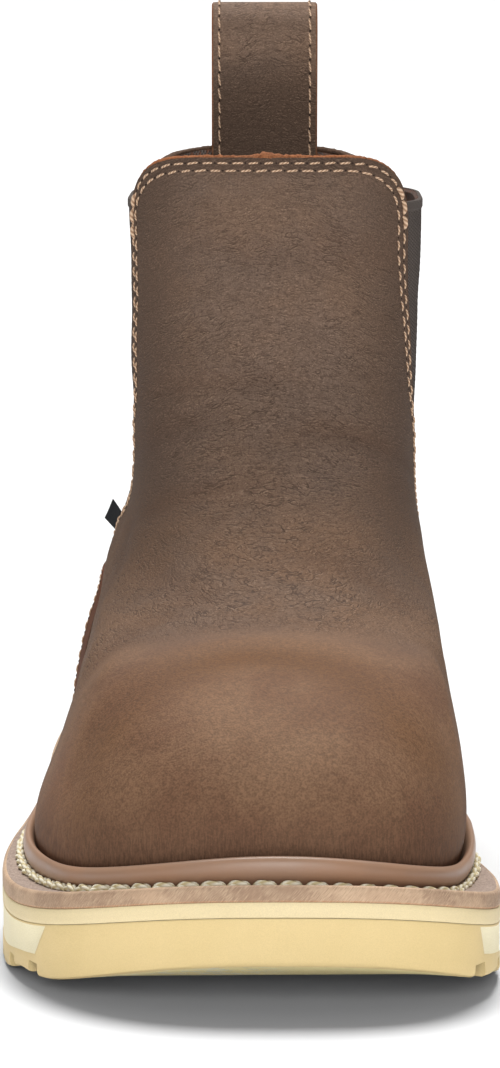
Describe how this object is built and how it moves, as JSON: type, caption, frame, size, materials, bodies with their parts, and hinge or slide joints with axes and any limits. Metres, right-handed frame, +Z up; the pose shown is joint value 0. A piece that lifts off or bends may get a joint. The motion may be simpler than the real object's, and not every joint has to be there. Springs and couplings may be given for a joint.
{
  "type": "chelsea work boot",
  "caption": "Ankle-high pull-on leather work boot with elastic side gores, a rear pull loop, a stitched storm welt and a cream wedge sole with side lugs.",
  "frame": {"origin": "on the floor, at the middle of the sole's length and width", "axes": "+Z up, the toe points to -Y, +X is the medial side of this right boot"},
  "size_m": [0.113, 0.305, 0.2153],
  "materials": {
    "leather": "matte oiled",
    "counter_leather": "matte oiled",
    "welt_leather": "satin",
    "cream_rubber": "matte",
    "midsole_rubber": "matte",
    "elastic": "ribbed",
    "footbed": "knit",
    "black_ribbon": "woven"
  },
  "bodies": {
    "root": {"outsole": "cream_rubber", "midsole": "midsole_rubber", "welt": "welt_leather", "insole": "footbed", "upper": "leather", "gore_medial": "elastic", "gore_lateral": "elastic", "heel_counter": "counter_leather", "pull_loop": "leather", "side_tab": "black_ribbon"}
  },
  "joints": []
}
